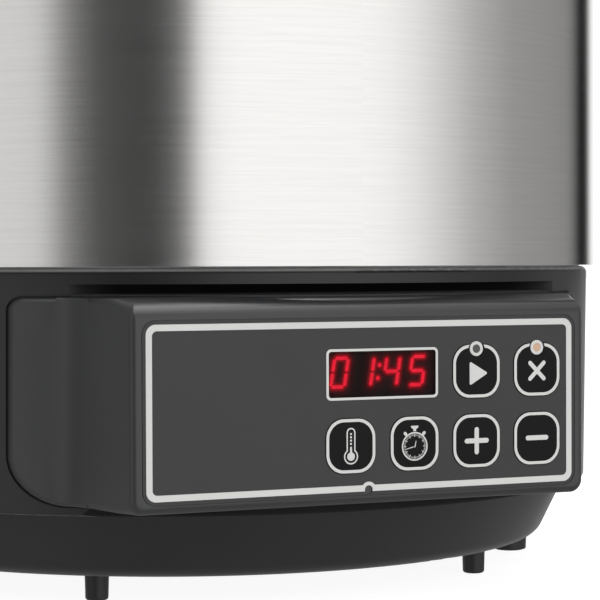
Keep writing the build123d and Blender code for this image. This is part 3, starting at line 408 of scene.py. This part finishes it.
RUBBER = plastic("black_rubber", (0.014, 0.014, 0.014), 0.7, grain=0.8, size=1200.0)
SILICONE = plastic("silicone", (0.45, 0.44, 0.42), 0.55, grain=0.2)
ALUMINIUM = metal("aluminium", (0.83, 0.83, 0.84), 0.35)
OXIDISED = metal("oxidised_tube", (0.42, 0.38, 0.33), 0.45, patch=0.3)
ZINC = metal("zinc", (0.7, 0.71, 0.73), 0.28)
BRASS = metal("brass", (0.8, 0.62, 0.3), 0.3)
CERAMIC = gloss("ceramic", (0.8, 0.79, 0.75), 0.2)
PHENOLIC = plastic("phenolic", (0.08, 0.06, 0.05), 0.4)
BOARD = plastic("circuit_board", (0.02, 0.12, 0.05), 0.3, mottling=0.2)
COMPONENT = plastic("component_black", (0.008, 0.008, 0.008), 0.45, specular=0.2)
RELAY = gloss("relay_blue", (0.02, 0.08, 0.3), 0.3)
POLYAMIDE = plastic("polyamide", (0.6, 0.6, 0.56), 0.5)
SLEEVE = gloss("capacitor_sleeve", (0.03, 0.03, 0.09), 0.25)
LED_BODY = gloss("led_body", (0.75, 0.7, 0.55), 0.2)
RED_WIRE = plastic("red_wire", (0.45, 0.03, 0.03), 0.5)
GREY_WIRE = plastic("grey_wire", (0.2, 0.2, 0.21), 0.5)
DIGIT_RED = glowing("digit_red", (1.0, 0.004, 0.035), 1.05)

LOOKS = {
    "brushed plate": (ALUMINIUM, ["heat_plate", "heat_shield"]),
    "brackets": (WALL_STEEL, ["handle_brackets"]),
    "lid steel": (LID_STEEL, ["lid_shell", "knob_collar", "jar_rack"]),
    "base": (BASE_PLASTIC, ["base_ring", "mains_gland", "gland_locknut"]),
    "tray": (TRAY_PLASTIC, ["base_tray", "slim_feet", "wide_feet"]),
    "box": (BOX_PLASTIC, ["control_housing", "rear_cover"]),
    "grips": (GRIP_PLASTIC, ["handle_left", "handle_right", "lid_knob"]),
    "sheet": (PANEL_SHEET, ["panel_overlay"]),
    "print": (SILVER_PRINT, ["panel_print", "led_bezels"]),
    "lens": (LENS, ["display_window"]),
    "digits": (DIGIT_RED, ["digit_segments"]),
    "keys": (
        KEY_BLACK,
        [
            "button_start",
            "button_cancel",
            "button_plus",
            "button_minus",
            "button_timer",
            "button_temperature",
        ],
    ),
    "guides": (GUIDE, ["light_pipes"]),
    "rubber": (RUBBER, ["foot_pads", "vent_grommet"]),
    "seal": (SILICONE, ["seat_gasket"]),
    "tube": (OXIDISED, ["heating_element", "temperature_sensor", "sensor_spring"]),
    "ceramic": (CERAMIC, ["terminal_insulators"]),
    "brass": (BRASS, ["terminal_tabs"]),
    "fasteners": (
        ZINC,
        [
            "handle_screws",
            "knob_screw",
            "tray_screws",
            "board_screws",
            "rear_cover_screws",
            "tie_rods",
            "tie_rod_nuts",
            "shield_spacers",
        ],
    ),
    "cutout": (PHENOLIC, ["thermal_cutout"]),
    "boards": (BOARD, ["power_board", "control_board"]),
    "components": (
        COMPONENT,
        ["power_supply_module", "buzzer", "display_module", "tact_switches"],
    ),
    "relay": (RELAY, ["power_relay"]),
    "terminals": (POLYAMIDE, ["terminal_block"]),
    "capacitor": (SLEEVE, ["power_capacitor"]),
    "led": (LED_BODY, ["indicator_leds"]),
    "red wire": (RED_WIRE, ["heater_wiring"]),
    "grey wire": (GREY_WIRE, ["sensor_lead", "panel_cable"]),
}


def dress_nodes():
    for material, names in LOOKS.values():
        for name in names:
            mesh = nodes[name].data
            mesh.materials.clear()
            mesh.materials.append(material)
            smooth_node(nodes[name])


def smooth_node(node, degrees=32):
    """Smooth shading across the seams between CAD faces, with crisp edges kept."""
    node.data.polygons.foreach_set("use_smooth", [True] * len(node.data.polygons))
    weld = node.modifiers.new("join_seams", "WELD")
    weld.merge_threshold = 0.000002
    split = node.modifiers.new("crisp_edges", "EDGE_SPLIT")
    split.split_angle = math.radians(degrees)


def touch_up(node, material, inside):
    """Second material on the faces of a node whose centres lie inside a region."""
    mesh = nodes[node].data
    mesh.materials.append(material)
    slot = len(mesh.materials) - 1
    for face in mesh.polygons:
        if inside(face.center):
            face.material_index = slot


def base_details():
    """Painted shade: darker plastic in the slot above the control box, and a painted shadow on the
    edge below it.
    """

    # faces that take the slot's painted shade
    def in_slot(point):
        inside_wall = point.y < -0.1556 and abs(point.x) < SLOT_HALF_W
        return inside_wall and SLOT_LOW < point.z < SLOT_HIGH

    # faces that take the painted shadow under the control box
    def under_box(point):
        return point.z < 0.0428 and point.y < -0.1 and abs(point.x) < 0.104

    touch_up("base_ring", PAINTED_SLOT_SHADE, in_slot)
    touch_up("base_ring", PAINTED_SHADOW_PLASTIC, under_box)


# ---- vessel and lid -----------------------------------------------------------------------
BEAD_OVERHANG = 3.2 * MM
BEAD_R = 2.2 * MM
WALL_T = 0.8 * MM


def vessel():
    """Spun vessel: skirt, wall with its rolled bead, and the floor with a rounded corner."""
    low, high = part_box("vessel_shell")
    outer = high.x - BEAD_OVERHANG
    inner = outer - WALL_T
    floor_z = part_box("heat_plate")[1].z
    floor_top = floor_z + 1.0 * MM
    corner = 6.0 * MM
    bead = (high.x - BEAD_R, high.z - BEAD_R)
    profile = [(0.0, floor_z), (inner, floor_z), (inner, low.z), (outer, low.z)]
    profile += [(outer, bead[1] - 1.9 * MM)]
    profile += arc_points(bead, BEAD_R, -120, 180, 20)
    profile += [(inner, bead[1] - 1.0 * MM)]
    profile += arc_points((inner - corner, floor_top + corner), corner, 0, -90, 8)
    profile += [(0.0, floor_top)]
    piece = lathe("vessel", profile, WALL_STEEL, "base")
    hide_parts("vessel_shell")


# ---- panel prints -------------------------------------------------------------------------
RING_LINE = 1.25 * MM
KEY_CORNER = 7.5 * MM
KEY_FLANGE = 0.7 * MM


def key_centre(node):
    low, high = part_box(node)
    return ((low.x + high.x) / 2, (low.z + high.z) / 2)


def key_size():
    """Visible width of a key, without the flange behind the panel."""
    low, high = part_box("button_plus")
    return high.x - low.x - 2 * KEY_FLANGE


def key_ring(node, body, notch=None):
    """Silver line round a key, open where an indicator lamp sits in its edge."""
    x, z = key_centre(node)
    size = key_size()
    outer = rounded_loop((x, z), (size - 0.1 * MM, size - 0.1 * MM), KEY_CORNER, 14)
    width = size - 2 * RING_LINE
    inner = rounded_loop((x, z), (width, width), KEY_CORNER - RING_LINE * 0.8, 14)
    if notch is None:
        loops = [outer, inner]
    else:
        centre, radius = notch
        keep = [p for p in outer if math.dist(p, centre) > radius]
        hold = [p for p in inner if math.dist(p, centre) > radius]
        loops = [open_ring(keep, hold, centre)]
    inlay(node + "_ring", loops, CAP_Y - PRINT_T / 2, PRINT_T, SILVER_PRINT, body)


def open_ring(outer, inner, gap):
    """One loop that runs round an outer line and back along an inner one, past a gap."""

    def from_gap(points):
        angles = []
        middle = (sum(p[0] for p in points) / len(points), sum(p[1] for p in points) / len(points))
        start = math.atan2(gap[1] - middle[1], gap[0] - middle[0])
        for point in points:
            angle = math.atan2(point[1] - middle[1], point[0] - middle[0]) - start
            angles.append((angle % (2 * math.pi), point))
        return [point for _, point in sorted(angles)]

    return from_gap(outer) + from_gap(inner)[::-1]


def shift(loop, centre):
    """A loop drawn in millimetres round its own origin, moved to a key's centre."""
    return [(centre[0] + x * MM, centre[1] + z * MM) for x, z in loop]


def start_icon():
    """Triangle that points right, with rounded corners."""
    points = []
    for corner, start in zip(((-2.7, 3.2), (-2.7, -5.0), (4.3, -0.9)), (60, 180, 300)):
        points += arc_points(corner, 0.5, start, start + 120, 5)
    return [[points]]


def cross_outline(arm, half, turn, middle=(0.0, 0.0)):
    """Cross of two round-ended bars of equal length, as one loop."""
    points = []
    for quarter in range(4):
        angle = math.radians(90 * quarter + turn)
        tip = arc_points((arm - half, 0), half, -90, 90, 6)
        for x, z in tip + [(half, half)]:
            across = x * math.cos(angle) - z * math.sin(angle)
            upwards = x * math.sin(angle) + z * math.cos(angle)
            points.append((middle[0] + across, middle[1] + upwards))
    return points


def plus_icon():
    return [[cross_outline(5.6, 1.0, 0)]]


def cancel_icon():
    return [[cross_outline(5.5, 0.88, 45, (0.0, -0.5))]]


def minus_icon():
    return [[bar_loop((-4.4, 0.2), (4.4, 0.2), 2.0)]]


def thermometer_icon():
    """Outlined tube and bulb, a filled bulb with its column, and marks above the column."""
    bulb = (0.0, -4.2)

    def outline(tube_half, bulb_r, top):
        opening = math.degrees(math.asin(tube_half / bulb_r))
        points = arc_points((0, top), tube_half, 0, 180, 10)
        return points + arc_points(bulb, bulb_r, 90 + opening, 450 - opening, 26)

    column = arc_points(bulb, 1.7, 106, 434, 20) + [(0.38, -0.3), (-0.38, -0.3)]
    marks = []
    for index in range(4):
        z = 0.5 + 1.3 * index
        marks.append([(-0.4, z), (0.4, z), (0.4, z + 0.75), (-0.4, z + 0.75)])
    return [[outline(1.95, 3.1, 5.3), outline(1.4, 2.55, 5.3)], [column], marks]


def timer_icon():
    """Stop-watch: ring, minute marks, crown, two lugs and two hands."""
    dial = (0.0, -1.2)
    ring = [circle_loop(dial, 5.8, 48), circle_loop(dial, 5.2, 48)]
    marks = []
    for index in range(60):
        angle = math.radians(6 * index)
        near, width = (3.9, 0.3) if index % 5 == 0 else (4.3, 0.16)
        ends = []
        for reach in (near, 4.9):
            ends.append((dial[0] + reach * math.cos(angle), dial[1] + reach * math.sin(angle)))
        marks.append(bar_loop(ends[0], ends[1], width, 2))
    crown = [(-1.7, 7.1), (1.7, 7.1), (1.6, 6.4), (0.6, 5.7), (0.6, 4.9), (-0.6, 4.9), (-0.6, 5.7)]
    crown.append((-1.6, 6.4))
    lugs = []
    for side in (-1, 1):
        lugs.append(bar_loop((side * 3.95, 3.75), (side * 4.35, 4.2), 1.3, 4))
    hands = [
        [(-0.25, -1.6), (0.3, -1.6), (0.75, 1.0), (0.45, 1.05), (-0.1, -1.2)],
        [(-0.45, -1.2), (-0.5, -1.6), (-4.1, -2.4), (-4.15, -2.15)],
    ]
    return [ring, marks, [crown], lugs, hands]


ICONS = {
    "button_start": start_icon,
    "button_cancel": cancel_icon,
    "button_plus": plus_icon,
    "button_minus": minus_icon,
    "button_timer": timer_icon,
    "button_temperature": thermometer_icon,
}


def keys():
    lamps = {"button_start": 0, "button_cancel": 1}
    lamp_low, lamp_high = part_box("led_bezels")
    lamp_r = (lamp_high.z - lamp_low.z) / 2
    for node, icon in ICONS.items():
        body = node.removeprefix("button_") + "_button"
        low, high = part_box(node)
        notch = None
        if node in lamps:
            lamp_x = (lamp_low.x + lamp_r, lamp_high.x - lamp_r)[lamps[node]]
            notch = ((lamp_x, (lamp_low.z + lamp_high.z) / 2), lamp_r + 0.35 * MM)
        key_ring(node, body, notch)
        centre = key_centre(node)
        for index, group in enumerate(icon()):
            inlay(
                f"{node}_icon_{index}",
                [shift(loop, centre) for loop in group],
                CAP_Y - PRINT_T / 2,
                PRINT_T,
                SILVER_PRINT,
                body,
            )


# ---- display glow -------------------------------------------------------------------------
GLOW_EDGE = 0.5 * MM
GLOW_STEP = 0.4 * MM


def islands(mesh):
    """Separate shells of a mesh, each as a list of its points."""
    shape = bmesh.new()
    shape.from_mesh(mesh)
    waiting = set(shape.verts)
    shells = []
    while waiting:
        front = [waiting.pop()]
        shell = []
        while front:
            vert = front.pop()
            shell.append(vert.co.copy())
            for edge in vert.link_edges:
                other = edge.other_vert(vert)
                if other in waiting:
                    waiting.discard(other)
                    front.append(other)
        shells.append(shell)
    shape.free()
    return shells


def outline_of(points):
    """Convex outline of points seen from the front, anticlockwise."""
    flat = sorted({(round(p.x, 7), round(p.z, 7)) for p in points})

    def half(ordered):
        chain = []
        for point in ordered:
            while len(chain) > 1:
                (ax, az), (bx, bz) = chain[-2], chain[-1]
                if (bx - ax) * (point[1] - az) - (bz - az) * (point[0] - ax) > 0:
                    break
                chain.pop()
            chain.append(point)
        return chain[:-1]

    return half(flat) + half(flat[::-1])


def distance_to(outline, x, z):
    """Distance from a point to a convex outline, zero inside it."""
    nearest = math.inf
    inside = True
    for (ax, az), (bx, bz) in zip(outline, outline[1:] + outline[:1]):
        dx, dz = bx - ax, bz - az
        if dx * (z - az) - dz * (x - ax) < 0:
            inside = False
        along = ((x - ax) * dx + (z - az) * dz) / (dx * dx + dz * dz)
        along = min(1.0, max(0.0, along))
        nearest = min(nearest, math.hypot(x - ax - along * dx, z - az - along * dz))
    return 0.0 if inside else nearest


def display_glow():
    """Sheet behind the lit segments that carries their soft red halo."""
    shells = [outline_of(shell) for shell in islands(nodes["digit_segments"].data)]
    low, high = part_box("display_window")
    edge, step = GLOW_EDGE, GLOW_STEP
    columns = int((high.x - low.x - 2 * edge) / step)
    rows = int((high.z - low.z - 2 * edge) / step)
    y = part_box("digit_segments")[1].y - 0.01 * MM
    mesh = bpy.data.meshes.new("display_glow")
    shape = bmesh.new()
    layer = shape.verts.layers.float.new("glow")
    grid = []
    for row in range(rows + 1):
        line = []
        for column in range(columns + 1):
            x, z = low.x + edge + column * step, low.z + edge + row * step
            gap = min(distance_to(shell, x, z) for shell in shells) / MM
            vert = shape.verts.new((x, y, z))
            vert[layer] = 0.55 * math.exp(-((gap / 0.75) ** 2)) + 0.13 * math.exp(-gap / 1.6)
            line.append(vert)
        grid.append(line)
    for row in range(rows):
        for column in range(columns):
            lower, upper = grid[row], grid[row + 1]
            shape.faces.new(
                (lower[column], lower[column + 1], upper[column + 1], upper[column])
            )
    shape.to_mesh(mesh)
    shape.free()
    graph = Graph("display_glow")
    strength = graph.add("ShaderNodeAttribute", attribute_name="glow")
    grain = graph.noise(graph.position(), 900.0, detail=2.0)
    shine = graph.math("MULTIPLY", strength.outputs["Fac"], graph.span(grain, 0.85, 1.15))
    graph.link(shine, graph.shader.inputs["Emission Strength"])
    graph.shader.inputs["Emission Color"].default_value = (1.0, 0.0, 0.02, 1.0)
    dark = [(0.3, grey(0.004)), (0.7, grey(0.007))]
    graph.link(graph.ramp(grain, dark), graph.shader.inputs["Base Color"])
    graph.set(roughness=0.6, specular=0.1)
    add_mesh("display_glow", mesh, graph.material, "base")


# ---- stage --------------------------------------------------------------------------------
def emissive(name, strength):
    """Plain white light."""
    material = bpy.data.materials.new(name)
    material.use_nodes = True
    tree = material.node_tree
    tree.nodes.clear()
    light = tree.nodes.new("ShaderNodeEmission")
    light.inputs["Strength"].default_value = strength
    light.inputs["Color"].default_value = (1.0, 1.0, 1.0, 1.0)
    output = tree.nodes.new("ShaderNodeOutputMaterial")
    tree.links.new(light.outputs[0], output.inputs[0])
    return material


# brightness of the screen round the object: (degrees from the front towards +X, brightness)
SCREEN_TONES = (
    (-180, 0.50),
    (-131, 0.38),
    (-100, 0.26),
    (-80, 0.25),
    (-75, 0.80),
    (-69, 0.82),
    (-58, 0.76),
    (-54, 0.52),
    (-51.5, 0.28),
    (-48, 0.16),
    (-43, 0.06),
    (-30, 0.01),
    (-24.5, 0.05),
    (-21.0, 0.20),
    (-18.8, 0.60),
    (-16.5, 1.05),
    (-10, 1.19),
    (22, 1.2),
    (30, 1.15),
    (37, 1.03),
    (47, 0.79),
    (57, 0.55),
    (72, 0.37),
    (88, 0.33),
    (103, 0.29),
    (109, 0.12),
    (112, 0.0),
    (121, 0.0),
    (126, 0.7),
    (134, 1.1),
    (155, 0.9),
    (180, 0.50),
)
SCREEN_PEAK = 1.25


def studio_screen(radius=1.7, low=-0.5, high=2.5, steps=144):
    """Lit screen all round the object, whose brightness changes with the direction."""
    mesh = bpy.data.meshes.new("screen")
    shape = bmesh.new()
    columns = []
    for index in range(steps):
        angle = 2 * math.pi * index / steps
        x, y = radius * math.sin(angle), -radius * math.cos(angle)
        columns.append((shape.verts.new((x, y, low)), shape.verts.new((x, y, high))))
    for here, there in zip(columns, columns[1:] + columns[:1]):
        shape.faces.new((here[0], there[0], there[1], here[1]))
    shape.to_mesh(mesh)
    shape.free()
    graph = Graph("screen_tones")
    split = graph.add("ShaderNodeSeparateXYZ")
    graph.link(graph.position(), split.inputs["Vector"])
    back = graph.math("MULTIPLY", split.outputs["Y"], -1.0)
    angle = graph.math("ARCTAN2", split.outputs["X"], back)
    place = graph.math("ADD", graph.math("DIVIDE", angle, 2 * math.pi), 0.5)
    stops = [((a + 180) / 360, grey(tone / SCREEN_PEAK)) for a, tone in SCREEN_TONES]
    light = graph.add("ShaderNodeEmission")
    light.inputs["Strength"].default_value = SCREEN_PEAK
    graph.link(graph.ramp(place, stops), light.inputs["Color"])
    graph.link(light.outputs[0], graph.nodes["Material Output"].inputs["Surface"])
    mesh.materials.append(graph.material)
    screen = bpy.data.objects.new("screen", mesh)
    bpy.context.scene.collection.objects.link(screen)
    screen.visible_camera = False
    screen.visible_shadow = False


def soft_panel(name, size, place, strength):
    """Horizontal lit panel, which only reflections and bounced light can see."""
    bpy.ops.mesh.primitive_plane_add(size=size, location=place)
    panel = bpy.context.object
    panel.name = name
    panel.data.materials.append(emissive(name, strength))
    panel.visible_camera = False
    panel.visible_shadow = False


def studio():
    studio_screen()
    soft_panel("overhead", 1.6, (0, -0.75, 2.4), 5.6)
    soft_panel("underlay", 3.6, (0, 0, -0.5), 0.3)
    world = bpy.data.worlds.new("studio")
    bpy.context.scene.world = world
    world.use_nodes = True
    background = world.node_tree.nodes["Background"]
    background.inputs["Color"].default_value = (1, 1, 1, 1)
    background.inputs["Strength"].default_value = 1.0

    bpy.ops.mesh.primitive_plane_add(size=30)
    floor = bpy.context.object
    floor.name = "floor"
    graph = Graph("floor_white")
    graph.shader.inputs["Base Color"].default_value = (0.35, 0.35, 0.35, 1)
    graph.shader.inputs["Emission Color"].default_value = (1, 1, 1, 1)
    graph.set(roughness=0.9, specular=0.1, emission=0.92)
    floor.data.materials.append(graph.material)
    floor.visible_glossy = False


# degrees and metres
CAMERA_AZIMUTH = -21.04
CAMERA_DISTANCE = 1.0114
CAMERA_HEIGHT = 0.1390
LOOK_ASIDE = -3.096
LOOK_DOWN = -1.006
CAMERA_ROLL = -0.196
LENS_MM = 124.8
SENSOR_MM = 36.0


def camera():
    data = bpy.data.cameras.new("camera")
    data.sensor_width = SENSOR_MM
    data.lens = LENS_MM
    data.clip_start = 0.05
    data.clip_end = 50.0
    holder = bpy.data.objects.new("camera", data)
    bpy.context.scene.collection.objects.link(holder)
    azimuth = math.radians(CAMERA_AZIMUTH)
    holder.location = (
        CAMERA_DISTANCE * math.sin(azimuth),
        -CAMERA_DISTANCE * math.cos(azimuth),
        CAMERA_HEIGHT,
    )
    heading = math.radians(CAMERA_AZIMUTH + LOOK_ASIDE)
    pitch = math.radians(LOOK_DOWN)
    forward = Vector(
        (
            -math.sin(heading) * math.cos(pitch),
            math.cos(heading) * math.cos(pitch),
            math.sin(pitch),
        )
    )
    side = forward.cross(Vector((0, 0, 1))).normalized()
    up = side.cross(forward)
    roll = math.radians(CAMERA_ROLL)
    right = side * math.cos(roll) + up * math.sin(roll)
    top = -side * math.sin(roll) + up * math.cos(roll)
    holder.rotation_mode = "QUATERNION"
    holder.rotation_quaternion = Matrix((right, top, -forward)).transposed().to_quaternion()
    bpy.context.scene.camera = holder


bpy.context.scene.view_settings.view_transform = "Standard"
dress_nodes()
base_details()
vessel()
keys()
display_glow()
studio()
camera()
